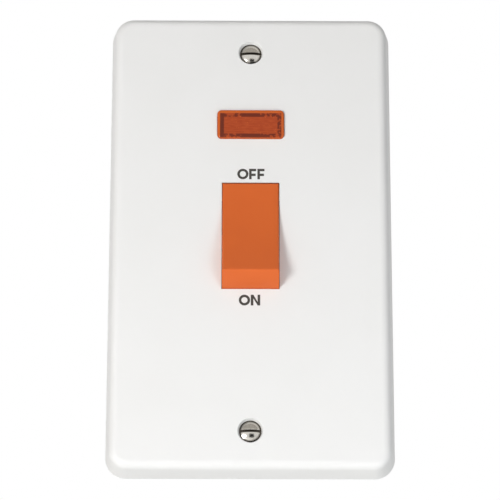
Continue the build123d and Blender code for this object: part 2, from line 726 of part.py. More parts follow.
def plate_screw(end):
    """Slotted raised countersunk screw that fixes the plate to its wall box."""
    z = end * SCREW_Z
    rim_y = FACE_Y + HEAD_RIM_DEPTH
    under_y = rim_y + HEAD_RIM_T
    neck_y = under_y + HEAD_R - NECK_R
    dome_y = rim_y - DOME_H
    dome_r = (HEAD_R**2 + DOME_H**2) / (2 * DOME_H)
    half_out = HEAD_R / 2
    half_y = dome_y + dome_r - sqrt(dome_r**2 - half_out**2)
    outline = make_face([
        ThreePointArc((0, dome_y), (half_out, half_y), (HEAD_R, rim_y)),
        Polyline((HEAD_R, rim_y), (HEAD_R, under_y), (NECK_R, neck_y), (NECK_R, BOSS_END_Y),
                 (PLATE_SCREW_R, BOSS_END_Y), (PLATE_SCREW_R, PLATE_SCREW_TIP_Y - 0.6),
                 (PLATE_SCREW_R - 0.6, PLATE_SCREW_TIP_Y), (0, PLATE_SCREW_TIP_Y), (0, dome_y)),
    ])
    screw = turned(outline, 0, z)
    return screw - bar(-5, 5, z - SLOT_W / 2, z + SLOT_W / 2, dome_y - 1, dome_y + SLOT_DEPTH)


def earth_terminal():
    """Brass block for the earth conductor, whose bore lies clear behind the plate's rim."""
    body = bar(EARTH_X - 4, EARTH_X + 4, EARTH_Z - 4.5, EARTH_Z + 4.5, EARTH_FRONT_Y, EARTH_BACK_Y)
    body = chamfer(body.edges().filter_by(Axis.Z), 0.5)
    body -= tunnel(EARTH_X, EARTH_BORE_Y, EARTH_BORE_R, EARTH_Z - 6, EARTH_Z + 6)
    return body - post(EARTH_X, EARTH_Z, 1.4 + RUNNING, EARTH_BORE_Y, EARTH_BACK_Y + 1)


def earth_screw():
    """Clamp screw of the earth terminal."""
    tip_y = EARTH_BORE_Y + EARTH_BORE_R + 0.05
    shank = post(EARTH_X, EARTH_Z, 1.4, tip_y, EARTH_BACK_Y + 0.2)
    return shank + slotted_head(EARTH_X, EARTH_Z, 2.4, EARTH_BACK_Y + 0.02, EARTH_BACK_Y + 1.8)


def all_nodes():
    """Every piece under the name of its node."""
    nodes = {
        "front_plate": front_plate(),
        "switch_base": raised(switch_base()),
        "rocker": raised(rocker()),
        "indicator_lens": indicator_lens(),
        "neon_holder": neon_holder(),
        "neon_lamp": neon_lamp(),
        "lamp_electrode_upper": lamp_electrode_upper(),
        "lamp_electrode_lower": lamp_electrode_lower(),
        "lamp_resistor": lamp_resistor(),
        "earth_terminal": earth_terminal(),
        "earth_screw": earth_screw(),
        "plate_screw_top": plate_screw(1),
        "plate_screw_bottom": plate_screw(-1),
    }
    for pole, side in POLES.items():
        nodes[f"plunger_{pole}"] = raised(plunger(side))
        nodes[f"plunger_spring_{pole}"] = raised(plunger_spring(side))
        nodes[f"contact_arm_{pole}"] = raised(contact_arm(side))
        nodes[f"moving_contact_{pole}"] = raised(moving_contact(side))
        nodes[f"fixed_contact_{pole}"] = raised(fixed_contact(side))
        nodes[f"supply_terminal_{pole}"] = raised(supply_terminal(side))
        nodes[f"load_terminal_{pole}"] = raised(load_terminal(side))
        nodes[f"neon_lead_{pole}"] = neon_lead(side)
        for end, place in ((1, "supply"), (-1, "load")):
            for z, row in zip(CLAMP_Z, ("inner", "outer")):
                nodes[f"{place}_screw_{pole}_{row}"] = raised(clamp_screw(side, end, z))
            nodes[f"module_screw_{place}_{pole}"] = raised(module_screw(side, end))
    return nodes


os.makedirs("parts", exist_ok=True)
for name, solid in all_nodes().items():
    export_step(solid, f"parts/{name}.step")
    print(name, round(solid.volume, 1))
print("half swing", round(HALF_SWING, 3), "arm ratio", round(-ARM_TILT / HALF_SWING, 4))
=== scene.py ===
# %% [markdown]
# # An upright double pole switch
# A white moulded wall plate carries an orange rocker, a neon lens and two slotted screws.
# The imported model already holds every piece at its real size, so this lesson is mostly about
# finish: the camera and light of a product photograph, and a material for each thing the maker
# used. The threaded screws, the plunger springs and the printed words are the only pieces
# modelled here. The model is loaded first. Nothing added later may grow past it.

# %% Load the frame
import json
import math

import bpy
from mathutils import Matrix, Vector

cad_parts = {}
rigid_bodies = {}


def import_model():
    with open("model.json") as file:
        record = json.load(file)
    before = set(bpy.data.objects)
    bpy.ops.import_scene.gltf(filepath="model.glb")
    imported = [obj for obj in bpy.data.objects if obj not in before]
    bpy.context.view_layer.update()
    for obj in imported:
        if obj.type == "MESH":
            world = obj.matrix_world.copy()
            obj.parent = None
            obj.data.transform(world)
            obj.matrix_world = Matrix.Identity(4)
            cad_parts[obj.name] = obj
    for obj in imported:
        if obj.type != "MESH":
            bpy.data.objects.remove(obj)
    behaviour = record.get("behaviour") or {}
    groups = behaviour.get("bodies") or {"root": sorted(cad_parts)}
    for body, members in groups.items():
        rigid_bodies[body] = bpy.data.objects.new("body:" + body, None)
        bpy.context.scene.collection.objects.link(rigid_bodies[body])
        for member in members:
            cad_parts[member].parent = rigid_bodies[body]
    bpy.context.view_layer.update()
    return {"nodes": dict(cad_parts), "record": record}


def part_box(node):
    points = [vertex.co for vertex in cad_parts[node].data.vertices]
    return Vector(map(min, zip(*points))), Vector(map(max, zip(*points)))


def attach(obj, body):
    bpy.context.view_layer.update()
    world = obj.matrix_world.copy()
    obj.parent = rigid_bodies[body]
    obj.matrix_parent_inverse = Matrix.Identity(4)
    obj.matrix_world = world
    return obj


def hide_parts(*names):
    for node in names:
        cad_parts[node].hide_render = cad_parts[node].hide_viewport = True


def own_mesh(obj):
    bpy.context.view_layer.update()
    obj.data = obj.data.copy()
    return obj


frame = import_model()
nodes = frame["nodes"]
bpy.ops.object.select_all(action="DESELECT")
MM = 0.001
print("pieces from the frame:", len(nodes))

# %% [markdown]
# ## The camera
# The photograph was taken with a long lens, a little below the middle of the plate and looking
# slightly up. A long lens keeps the plate's sides almost parallel. The camera is placed by its
# distance and two angles from a point on the plate, which is how a studio stand is set.

# %% Camera
CAMERA_DISTANCE = 854.0 * MM
CAMERA_BELOW = math.radians(18.99)
CAMERA_LEFT = math.radians(-0.30)
CAMERA_ROLL = math.radians(0.08)
AIM = Vector((-0.12, 0.0, -1.21)) * MM
FOCAL_LENGTH = 201.9
SENSOR_WIDTH = 36.0
NEAR_CLIP = 10.0 * MM

back = Vector((
    math.sin(CAMERA_LEFT) * math.cos(CAMERA_BELOW),
    -math.cos(CAMERA_LEFT) * math.cos(CAMERA_BELOW),
    -math.sin(CAMERA_BELOW),
))
bpy.ops.object.camera_add(location=AIM + back * CAMERA_DISTANCE)
camera = bpy.context.object
camera.name = "photo_camera"
turn = back.to_track_quat("Z", "Y") @ Matrix.Rotation(CAMERA_ROLL, 3, "Z").to_quaternion()
camera.rotation_euler = turn.to_euler()
camera.data.lens = FOCAL_LENGTH
camera.data.sensor_width = SENSOR_WIDTH
camera.data.clip_start = NEAR_CLIP
bpy.context.scene.camera = camera
print("camera stands at", [round(v, 3) for v in camera.location])

# %% [markdown]
# ## The studio
# The rocker's shadow falls to the right and a little up, so the main lamp stands to the left and
# below. Its edge fades over several millimetres, which tells how wide the lamp is: about a third
# of a metre at this distance. The plate is a little brighter and cooler at its bottom. A small
# soft lamp low in front gives that: being close, it reaches the bottom more than the top. It is
# hidden from mirror rays, so the screws show one bright lamp as in the photograph. A third
# lamp, behind and a little above, lights the back for the other views. The floor is far below,
# out of the picture. Places and sizes of lamps are in metres, as for a real room.

# %% Studio: floor and lamps
FLOOR_Z = -420.0 * MM
FLOOR_SIZE = 6.0
KEY_LEFT = math.radians(35.0)
KEY_BELOW = math.radians(15.0)
KEY_DISTANCE = 0.90
KEY_SIZE = (0.34, 0.22)
KEY_POWER = 4.50
KEY_COLOUR = (1.0, 0.995, 0.985)
LOW_PLACE = Vector((0.20, -0.30, -0.25))
LOW_SIZE = (0.25, 0.25)
LOW_POWER = 0.55
LOW_COLOUR = (0.90, 0.95, 1.0)
BACK_PLACE = Vector((0.0, 0.90, 0.12))
BACK_SIZE = (0.40, 0.40)
BACK_POWER = 4.0
BACK_COLOUR = (1.0, 1.0, 1.0)


def add_lamp(name, size, power, place, colour):
    """An oval area lamp of a real size that faces the middle of the plate."""
    bpy.ops.object.light_add(type="AREA", location=place)
    lamp = bpy.context.object
    lamp.name = name
    lamp.rotation_euler = place.to_track_quat("Z", "Y").to_euler()
    lamp.data.shape = "ELLIPSE"
    lamp.data.size, lamp.data.size_y = size
    lamp.data.energy = power
    lamp.data.color = colour
    return lamp


bpy.ops.mesh.primitive_plane_add(size=FLOOR_SIZE, location=(0, 0, FLOOR_Z))
floor = bpy.context.object
floor.name = "floor"

key_way = Vector((
    -math.sin(KEY_LEFT) * math.cos(KEY_BELOW),
    -math.cos(KEY_LEFT) * math.cos(KEY_BELOW),
    -math.sin(KEY_BELOW),
))
add_lamp("key_lamp", KEY_SIZE, KEY_POWER, key_way * KEY_DISTANCE, KEY_COLOUR)
low_lamp = add_lamp("low_lamp", LOW_SIZE, LOW_POWER, LOW_PLACE, LOW_COLOUR)
low_lamp.visible_glossy = False
add_lamp("back_lamp", BACK_SIZE, BACK_POWER, BACK_PLACE, BACK_COLOUR)
print("key lamp at", [round(v, 3) for v in key_way * KEY_DISTANCE])

# %% [markdown]
# ## Cards for the metal to mirror
# A domed screw head shows the whole studio in small. With white all around it would look like
# paper, so a photographer hangs dark cards: black ones behind the camera and at the sides, and a
# wide grey one above, which also keeps white glare off the rocker's tilted front. Here they are
# planes that only mirror rays meet, so they hide nothing from a camera and take no light away.
# Each has a place, and a width and height, in metres.

# %% Cards
CARDS = {
    "card_operator": ((0.13, -0.98, -0.36), (0.46, 0.60)),
    "card_top": ((0.0, -0.62, 0.66), (1.50, 0.80)),
    "card_left": ((-0.85, -0.40, 0.05), (0.60, 1.40)),
    "card_right": ((0.85, -0.34, 0.10), (0.40, 1.20)),
}
cards = {}
for name, (place, size) in CARDS.items():
    place = Vector(place)
    bpy.ops.mesh.primitive_plane_add(size=1.0, location=place)
    card = bpy.context.object
    card.name = name
    card.scale = (size[0], size[1], 1)
    card.rotation_euler = place.to_track_quat("Z", "Y").to_euler()
    for kind in ("camera", "diffuse", "transmission", "volume_scatter", "shadow"):
        setattr(card, "visible_" + kind, False)
    cards[name] = card
print("cards hung:", len(cards))

# %% [markdown]
# ## One function for nodes
# Every material below is a handful of nodes. This one function adds any node: its own settings
# are given by name, and each input takes a number, a colour or another node's output.

# %% Add a node
def add_node(tree, kind, inputs=None, **settings):
    """Add a node, set its own settings, and give each input a value or a link."""
    node = tree.nodes.new(kind)
    for name, value in settings.items():
        setattr(node, name, value)
    for socket, value in (inputs or {}).items():
        if isinstance(value, bpy.types.NodeSocket):
            tree.links.new(value, node.inputs[socket])
        else:
            node.inputs[socket].default_value = value
    return node


# %% [markdown]
# ## The world around the studio
# A world can answer each kind of ray with its own light. Camera, mirror and glass rays see
# white, the background of the photograph. The rays that light a surface get an even fill, so
# the white background adds no light of its own. A Light Path node tells the rays apart, and the
# largest of its three values is one for any ray that sees.

# %% Rays that see
def seeing_rays(tree):
    """A socket that is one for camera, mirror and glass rays and zero for all others."""
    ray = add_node(tree, "ShaderNodeLightPath").outputs
    seen = ray["Is Camera Ray"]
    for kind in ("Is Glossy Ray", "Is Transmission Ray"):
        seen = add_node(tree, "ShaderNodeMath", {0: seen, 1: ray[kind]}, operation="MAXIMUM").outputs[0]
    return seen


# %% World
FILL_STRENGTH = 0.32
WHITE = (1.0, 1.0, 1.0, 1.0)

world = bpy.data.worlds.new("studio_world")
bpy.context.scene.world = world
world.use_nodes = True
sky = world.node_tree
sky.nodes.clear()
fill = add_node(sky, "ShaderNodeBackground", {"Color": WHITE, "Strength": FILL_STRENGTH})
white = add_node(sky, "ShaderNodeBackground", {"Color": WHITE, "Strength": 1.0})
mixed = add_node(sky, "ShaderNodeMixShader", {
    0: seeing_rays(sky), 1: fill.outputs[0], 2: white.outputs[0],
})
add_node(sky, "ShaderNodeOutputWorld", {"Surface": mixed.outputs[0]})
bpy.context.scene.view_settings.view_transform = "Standard"
print("fill light is", FILL_STRENGTH, "of white")

# %% [markdown]
# ## Starting a material
# Colours are written as the hex values a painter's tool shows, and one function turns them to
# linear light. Another starts a material and hands back its shader and its Object coordinates.
# Those are in metres here, so a noise whose scale is one over a length gives grain about that
# long: the third function turns a real size in millimetres into such a scale.

# %% Material helpers
def linear(hex_colour):
    """Turn an sRGB hex colour such as '#EDEBE8' into linear values with full alpha."""
    values = [int(hex_colour[i:i + 2], 16) / 255 for i in (1, 3, 5)]
    return [v / 12.92 if v <= 0.04045 else ((v + 0.055) / 1.055) ** 2.4 for v in values] + [1.0]


def new_material(name, colour, roughness, **sockets):
    """Start a material and return it with its tree, its shader and its Object coordinates."""
    material = bpy.data.materials.new(name)
    material.use_nodes = True
    tree = material.node_tree
    shader = tree.nodes["Principled BSDF"]
    shader.inputs["Base Color"].default_value = linear(colour)
    shader.inputs["Roughness"].default_value = roughness
    for socket, value in sockets.items():
        shader.inputs[socket.replace("_", " ")].default_value = value
    place = add_node(tree, "ShaderNodeTexCoord").outputs["Object"]
    return material, tree, shader, place


def grain_scale(size_mm):
    """Scale of a noise on Object coordinates whose grain is about size_mm across."""
    return 1 / (size_mm * MM)


print("a 1 mm grain has noise scale", grain_scale(1.0))

# %% [markdown]
# ## Moulded urea: the white plate
# Wall plates are pressed from urea formaldehyde powder in a polished steel mould. That leaves a
# smooth skin with a soft gloss, a waviness too shallow to see except in reflections, and a
# colour that clouds a very little over some 20 mm. Three noises do this: cloud, skin and gloss.

# %% White urea
def white_urea():
    material, tree, shader, place = new_material(
        "white_urea", "#ECEAE7", 0.48, IOR=1.52, Specular_IOR_Level=0.35,
    )
    cloud = add_node(tree, "ShaderNodeTexNoise", {"Vector": place, "Scale": grain_scale(22.0)})
    tone = add_node(tree, "ShaderNodeMix", {
        "Factor": cloud.outputs["Fac"], 6: linear("#EAE9E7"), 7: linear("#EEEDEC"),
    }, data_type="RGBA")
    tree.links.new(tone.outputs[2], shader.inputs["Base Color"])
    gloss = add_node(tree, "ShaderNodeTexNoise", {"Vector": place, "Scale": grain_scale(6.0)})
    rough = add_node(tree, "ShaderNodeMapRange", {
        "Value": gloss.outputs["Fac"], "To Min": 0.44, "To Max": 0.52,
    })
    tree.links.new(rough.outputs[0], shader.inputs["Roughness"])
    skin = add_node(tree, "ShaderNodeTexNoise", {"Vector": place, "Scale": grain_scale(0.9), "Detail": 3.0})
    bump = add_node(tree, "ShaderNodeBump", {
        "Height": skin.outputs["Fac"], "Strength": 0.06, "Distance": 0.05 * MM,
    })
    tree.links.new(bump.outputs["Normal"], shader.inputs["Normal"])
    return material


# %% [markdown]
# ## Moulded ABS: the orange rocker
# The rocker is injection moulded in a hard orange thermoplastic with a satin, very fine spark
# texture. The texture blurs reflections into a pale sheen where the face turns away, and the
# real grain of some 0.05 mm is drawn at 0.3 mm here, because finer would not show at all.

# %% Orange ABS
def orange_abs():
    material, tree, shader, place = new_material("orange_abs", "#D0632A", 0.40, IOR=1.54)
    cloud = add_node(tree, "ShaderNodeTexNoise", {"Vector": place, "Scale": grain_scale(9.0)})
    tone = add_node(tree, "ShaderNodeMix", {
        "Factor": cloud.outputs["Fac"], 6: linear("#D35D13"), 7: linear("#D76116"),
    }, data_type="RGBA")
    tree.links.new(tone.outputs[2], shader.inputs["Base Color"])
    spark = add_node(tree, "ShaderNodeTexNoise", {
        "Vector": place, "Scale": grain_scale(0.3), "Detail": 3.0,
    })
    bump = add_node(tree, "ShaderNodeBump", {
        "Height": spark.outputs["Fac"], "Strength": 0.10, "Distance": 0.03 * MM,
    })
    tree.links.new(bump.outputs["Normal"], shader.inputs["Normal"])
    return material


# %% [markdown]
# ## Translucent acrylic: the lens
# The indicator is a hollow cap of red acrylic with level flutes inside that spread the lamp's
# light. Its solid rim passes light from the white plate beside it and looks orange. The walls of
# the hollow turn light away and look dark brown, broken where the moulding marks let it through,
# and the window between them is brick red with faint level streaks. Real rays through so small
# a cap are slow and noisy. So this light and shade is painted into the colour: painted light on
# the rim, painted shade on the walls, painted highlights in the specks, and painted light and
# shade in the streaks, which also get a bump. The zones are placed by depth inside the window's
# edge: a Mapping node centres the coordinates on the window and turns metres into millimetres,
# and the smaller of the distances to its sides and to its ends is the depth. Each zone is a
# function below.

# %% Lens zones
LENS_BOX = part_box("indicator_lens")
LENS_MIDDLE = [(low + high) / 2 for low, high in zip(*LENS_BOX)]
FLANGE_LIP = 1.8
LENS_HALF_W = (LENS_BOX[1][0] - LENS_BOX[0][0]) / 2 / MM - FLANGE_LIP
LENS_HALF_H = (LENS_BOX[1][2] - LENS_BOX[0][2]) / 2 / MM - FLANGE_LIP
RIM_SIDE = 0.8
RIM_TOP = 1.1
RIM_BOTTOM = 0.1
WINDOW_HALF_W = LENS_HALF_W - RIM_SIDE
WINDOW_HALF_H = LENS_HALF_H - (RIM_TOP + RIM_BOTTOM) / 2
WINDOW_MIDDLE = (LENS_MIDDLE[0], LENS_MIDDLE[1], LENS_MIDDLE[2] - (RIM_TOP - RIM_BOTTOM) / 2 * MM)
print("lens is", round(2 * LENS_HALF_W, 2), "by", round(2 * LENS_HALF_H, 2), "mm")
print("its window is", round(2 * WINDOW_HALF_W, 2), "by", round(2 * WINDOW_HALF_H, 2), "mm")


# %% Depth inside the window's edge
def lens_depth(tree, spot):
    """Millimetres inside the window's nearest edge, negative on the rim."""
    across = add_node(tree, "ShaderNodeVectorMath", {0: spot}, operation="ABSOLUTE")
    inward = add_node(tree, "ShaderNodeVectorMath", {
        0: (WINDOW_HALF_W, 0, WINDOW_HALF_H), 1: across.outputs[0],
    }, operation="SUBTRACT")
    sides = add_node(tree, "ShaderNodeSeparateXYZ", {0: inward.outputs[0]})
    depth = add_node(tree, "ShaderNodeMath", {
        0: sides.outputs["X"], 1: sides.outputs["Z"],
    }, operation="MINIMUM")
    return depth.outputs[0]


# %% The window: level streaks and painted highlight specks
FLUTE_STRETCH = (0.45, 1.0, 3.2)
STREAK_FROM = 0.38
STREAK_FULL = 0.66
SPECK_EDGE = 0.16
SPECK_CORE = 0.10
SPECK_SHARE = 0.75


def lens_window(tree, spot):
    """The window's colour with its painted streaks and highlights, and the height of the streaks in it."""
    # Noise drawn out along X, its streaks about a millimetre apart like the flutes
    stretch = add_node(tree, "ShaderNodeMapping", {"Vector": spot, "Scale": FLUTE_STRETCH})
    streaks = add_node(tree, "ShaderNodeTexNoise", {
        "Vector": stretch.outputs[0], "Scale": 1.0, "Detail": 3.0,
    })
    streak = add_node(tree, "ShaderNodeMapRange", {
        "Value": streaks.outputs["Fac"], "From Min": STREAK_FROM, "From Max": STREAK_FULL,
    })
    # Painted light and shade of the flutes: darker level streaks in the window
    window = add_node(tree, "ShaderNodeMix", {
        "Factor": streak.outputs[0], 6: linear("#B24A21"), 7: linear("#A3401C"),
    }, data_type="RGBA")

    # Painted highlights: specks where a flute's crest sends light straight out
    points = add_node(tree, "ShaderNodeTexVoronoi", {"Vector": spot, "Scale": 1.2})
    speck_highlight = add_node(tree, "ShaderNodeMapRange", {
        "Value": points.outputs["Distance"],
        "From Min": SPECK_EDGE, "From Max": SPECK_CORE, "To Max": SPECK_SHARE,
    })
    window = add_node(tree, "ShaderNodeMix", {
        "Factor": speck_highlight.outputs[0], 6: window.outputs[2], 7: linear("#D06228"),
    }, data_type="RGBA")
    return window.outputs[2], streaks.outputs["Fac"]


# %% The walls' painted shade: whole at the left end and over the middle, broken into dashes elsewhere
WALL_MM = 1.25
WALL_BLUR = 0.1
LEFT_END_FROM = -7.9
LEFT_END_FULL = -8.3
MIDDLE_HALF_W = 2.9
DASH_FROM = 0.43
DASH_FULL = 0.50
DASH_SHARE = 0.95


def lens_wall_shade(tree, spot, depth, inside):
    """How much painted shade the wall gets: depth and inside tell where the window's edge is."""
    along = add_node(tree, "ShaderNodeSeparateXYZ", {0: spot})
    left_end = add_node(tree, "ShaderNodeMapRange", {
        "Value": along.outputs["X"], "From Min": LEFT_END_FROM, "From Max": LEFT_END_FULL,
    })
    middle = add_node(tree, "ShaderNodeMath", {
        0: along.outputs["X"], 1: 0.0, 2: MIDDLE_HALF_W,
    }, operation="COMPARE")
    whole = add_node(tree, "ShaderNodeMath", {
        0: left_end.outputs[0], 1: middle.outputs[0],
    }, operation="MAXIMUM")
    patches = add_node(tree, "ShaderNodeTexNoise", {"Vector": spot, "Scale": 0.95, "Detail": 3.0})
    dashes = add_node(tree, "ShaderNodeMapRange", {
        "Value": patches.outputs["Fac"], "From Min": DASH_FROM, "From Max": DASH_FULL, "To Max": DASH_SHARE,
    })
    solid = add_node(tree, "ShaderNodeMath", {
        0: whole.outputs[0], 1: dashes.outputs[0],
    }, operation="MAXIMUM")
    shallow = add_node(tree, "ShaderNodeMapRange", {
        "Value": depth, "From Min": WALL_MM + WALL_BLUR, "From Max": WALL_MM - WALL_BLUR,
    })
    band = add_node(tree, "ShaderNodeMath", {0: inside, 1: shallow.outputs[0]}, operation="MULTIPLY")
    wall_shade = add_node(tree, "ShaderNodeMath", {0: band.outputs[0], 1: solid.outputs[0]}, operation="MULTIPLY")
    return wall_shade.outputs[0]


# %% Red acrylic
EDGE_FROM = -0.05
EDGE_FULL = 0.08


def red_acrylic():
    material, tree, shader, place = new_material(
        "red_acrylic", "#B0481F", 0.20, IOR=1.49, Specular_IOR_Level=0.25,
    )
    local = add_node(tree, "ShaderNodeMapping", {
        "Vector": place, "Location": [-v / MM for v in WINDOW_MIDDLE], "Scale": (1 / MM,) * 3,
    })
    spot = local.outputs["Vector"]
    depth = lens_depth(tree, spot)
    inside = add_node(tree, "ShaderNodeMapRange", {
        "Value": depth, "From Min": EDGE_FROM, "From Max": EDGE_FULL,
    }).outputs[0]
    window, streaks = lens_window(tree, spot)
    # Painted shade: the walls' dark brown laid over the window's colour
    colour = add_node(tree, "ShaderNodeMix", {
        "Factor": lens_wall_shade(tree, spot, depth, inside), 6: window, 7: linear("#6E2B18"),
    }, data_type="RGBA")
    # Painted light: the rim's orange stands for the white plate's light passing through it
    colour = add_node(tree, "ShaderNodeMix", {
        "Factor": inside, 6: linear("#CB5E25"), 7: colour.outputs[2],
    }, data_type="RGBA")
    tree.links.new(colour.outputs[2], shader.inputs["Base Color"])
    bump = add_node(tree, "ShaderNodeBump", {
        "Height": streaks, "Strength": 0.12, "Distance": 0.05 * MM,
    })
    tree.links.new(bump.outputs["Normal"], shader.inputs["Normal"])
    return material


# %% [markdown]
# ## Nickel plate: the fixing screws
# The two screws are steel, nickel plated in a barrel. Tumbling against each other leaves the
# domes covered in small dents, so they mirror the studio in broken patches and look mottled.
# The slot and the rim get painted shade, nearly black, for the shade that falls in the slot and
# round the rim. Coarse dents and fine scratches are two noises added into one bump, and the
# painted shade is placed by its depth behind the top of the dome.

# %% Nickel plate
HEAD_TOP_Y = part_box("plate_screw_top")[0][1]
PAINTED_SHADE_FROM = 0.52
PAINTED_SHADE_FULL = 0.76
PAINTED_SHADE_END = 1.15
SCRATCH_SHARE = 0.3


def nickel_plate():
    material, tree, shader, place = new_material("nickel_plate", "#CBC7C0", 0.24, Metallic=1.0)
    dents = add_node(tree, "ShaderNodeTexNoise", {
        "Vector": place, "Scale": grain_scale(0.55), "Detail": 2.0,
    })
    fine = add_node(tree, "ShaderNodeTexNoise", {
        "Vector": place, "Scale": grain_scale(0.15), "Detail": 4.0,
    })
    height = add_node(tree, "ShaderNodeMath", {
        0: fine.outputs["Fac"], 1: SCRATCH_SHARE, 2: dents.outputs["Fac"],
    }, operation="MULTIPLY_ADD")
    bump = add_node(tree, "ShaderNodeBump", {
        "Height": height.outputs[0], "Strength": 0.24, "Distance": 0.05 * MM,
    })
    tree.links.new(bump.outputs["Normal"], shader.inputs["Normal"])
    # Painted shade: the slot and the ring round the rim are darkened by their depth behind the dome's top
    behind = add_node(tree, "ShaderNodeMapping", {
        "Vector": place, "Location": (0, -HEAD_TOP_Y / MM, 0), "Scale": (1 / MM,) * 3,
    })
    depth = add_node(tree, "ShaderNodeSeparateXYZ", {0: behind.outputs[0]}).outputs["Y"]
    begins = add_node(tree, "ShaderNodeMapRange", {
        "Value": depth, "From Min": PAINTED_SHADE_FROM, "From Max": PAINTED_SHADE_FULL,
    })
    ends = add_node(tree, "ShaderNodeMath", {0: depth, 1: PAINTED_SHADE_END}, operation="LESS_THAN")
    painted_shade = add_node(tree, "ShaderNodeMath", {
        0: begins.outputs[0], 1: ends.outputs[0],
    }, operation="MULTIPLY")
    tone = add_node(tree, "ShaderNodeMix", {
        "Factor": dents.outputs["Fac"], 6: linear("#BDB8AF"), 7: linear("#D9D6D0"),
    }, data_type="RGBA")
    # The painted shade's nearly black colour laid over the nickel
    tone = add_node(tree, "ShaderNodeMix", {
        "Factor": painted_shade.outputs[0], 6: tone.outputs[2], 7: linear("#4A453F"),
    }, data_type="RGBA")
    tree.links.new(tone.outputs[2], shader.inputs["Base Color"])
    rough = add_node(tree, "ShaderNodeMapRange", {
        "Value": fine.outputs["Fac"], "To Min": 0.08, "To Max": 0.22,
    })
    tree.links.new(rough.outputs[0], shader.inputs["Roughness"])
    return material


# %% [markdown]
# ## Worked metals inside
# The terminals are sawn and drilled brass, the see-saw strips half-hard copper and the contacts
# silver. All are bare metal whose tool marks run one way: noise drawn out along the piece's
# height makes those lines, and the same lines vary the gloss. The recipe is one function, and
# each metal gives it its own colour, gloss and spacing of the marks.

# %% Worked metal
def worked_metal(name, dark, light, roughness, mark_mm):
    material, tree, shader, place = new_material(name, light, roughness, Metallic=1.0)
    drawn = add_node(tree, "ShaderNodeMapping", {"Vector": place, "Scale": (1.0, 1.0, 0.12)})
    marks = add_node(tree, "ShaderNodeTexNoise", {
        "Vector": drawn.outputs[0], "Scale": grain_scale(mark_mm), "Detail": 3.0,
    })
    tone = add_node(tree, "ShaderNodeMix", {
        "Factor": marks.outputs["Fac"], 6: linear(dark), 7: linear(light),
    }, data_type="RGBA")
    tree.links.new(tone.outputs[2], shader.inputs["Base Color"])
    rough = add_node(tree, "ShaderNodeMapRange", {
        "Value": marks.outputs["Fac"], "To Min": roughness - 0.08, "To Max": roughness + 0.10,
    })
    tree.links.new(rough.outputs[0], shader.inputs["Roughness"])
    bump = add_node(tree, "ShaderNodeBump", {
        "Height": marks.outputs["Fac"], "Strength": 0.15, "Distance": 0.02 * MM,
    })
    tree.links.new(bump.outputs["Normal"], shader.inputs["Normal"])
    return material


# %% [markdown]
# ## Dull plastics inside
# The base is a dark phenolic moulding whose wood-flour filler shows as a dull speckle. The
# holder and the plungers are nylon, and the wires have PVC insulation. They differ in colour,
# gloss and size of speckle, so they share one recipe too.

# %% Dull plastic
def dull_plastic(name, dark, light, roughness, speckle_mm):
    material, tree, shader, place = new_material(name, light, roughness, IOR=1.53)
    speckle = add_node(tree, "ShaderNodeTexNoise", {
        "Vector": place, "Scale": grain_scale(speckle_mm), "Detail": 4.0,
    })
    share = add_node(tree, "ShaderNodeMapRange", {
        "Value": speckle.outputs["Fac"], "From Min": 0.35, "From Max": 0.65,
    })
    tone = add_node(tree, "ShaderNodeMix", {
        "Factor": share.outputs[0], 6: linear(dark), 7: linear(light),
    }, data_type="RGBA")
    tree.links.new(tone.outputs[2], shader.inputs["Base Color"])
    bump = add_node(tree, "ShaderNodeBump", {
        "Height": speckle.outputs["Fac"], "Strength": 0.12, "Distance": 0.04 * MM,
    })
    tree.links.new(bump.outputs["Normal"], shader.inputs["Normal"])
    return material


# %% [markdown]
# ## The lamp's glass and the resistor
# The neon bulb is drawn soda glass, clear with a faint waviness. The resistor has a tan lacquer
# with coloured bands for its value: a sawtooth of its place along X, cut at a width, draws them.

# %% Lamp glass and banded resistor
RESISTOR_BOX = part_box("lamp_resistor")
BAND_PITCH = 0.85
BAND_FROM = BAND_PITCH * 0.6


def lamp_glass():
    material, tree, shader, place = new_material(
        "lamp_glass", "#FFFFFF", 0.03, IOR=1.5, Transmission_Weight=1.0,
    )
    waves = add_node(tree, "ShaderNodeTexNoise", {"Vector": place, "Scale": grain_scale(2.0)})
    bump = add_node(tree, "ShaderNodeBump", {
        "Height": waves.outputs["Fac"], "Strength": 0.10, "Distance": 0.05 * MM,
    })
    tree.links.new(bump.outputs["Normal"], shader.inputs["Normal"])
    return material


def resistor_lacquer():
    material, tree, shader, place = new_material("resistor_lacquer", "#C9AC84", 0.35, IOR=1.5)
    local = add_node(tree, "ShaderNodeMapping", {
        "Vector": place, "Location": [-v / MM for v in RESISTOR_BOX[0]], "Scale": (1 / MM,) * 3,
    })
    along = add_node(tree, "ShaderNodeSeparateXYZ", {0: local.outputs[0]})
    saw = add_node(tree, "ShaderNodeMath", {0: along.outputs["X"], 1: BAND_PITCH}, operation="MODULO")
    band = add_node(tree, "ShaderNodeMath", {0: saw.outputs[0], 1: BAND_FROM}, operation="GREATER_THAN")
    tone = add_node(tree, "ShaderNodeMix", {
        "Factor": band.outputs[0], 6: linear("#C9AC84"), 7: linear("#7A4A2A"),
    }, data_type="RGBA")
    tree.links.new(tone.outputs[2], shader.inputs["Base Color"])
    return material


# %% [markdown]
# ## Every piece gets its finish
# The record says which finish each piece has. The pieces keep their shape, and only the
# material in their slot is set.

